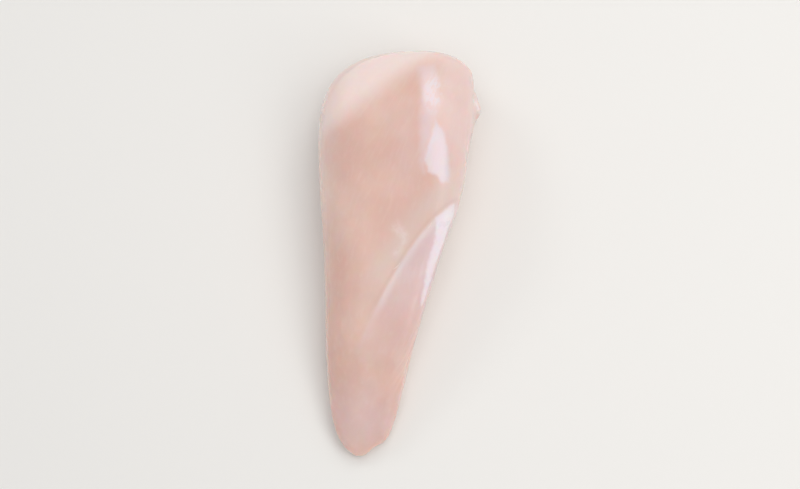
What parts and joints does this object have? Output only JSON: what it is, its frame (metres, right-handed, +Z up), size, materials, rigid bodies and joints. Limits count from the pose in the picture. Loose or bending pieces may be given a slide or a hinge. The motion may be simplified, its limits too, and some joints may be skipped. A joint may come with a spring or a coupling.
{
  "type": "raw chicken breast",
  "caption": "Raw boneless, skinless chicken breast with rib meat, lying on its bone side: broad thick head, thin tail, a membrane over the lower flank and a torn edge",
  "frame": {"origin": "middle of the breast's box, on the surface that it lies on", "axes": "+Z up, +Y from the thin tail to the thick head, +X to the flank side with the rib meat"},
  "size_m": [0.0662, 0.1648, 0.0397],
  "materials": {
    "flesh": "wet raw flesh, pale pink with faint fibres and a thin lavender membrane"
  },
  "bodies": {
    "root": {"chicken_breast": "flesh"}
  },
  "joints": []
}
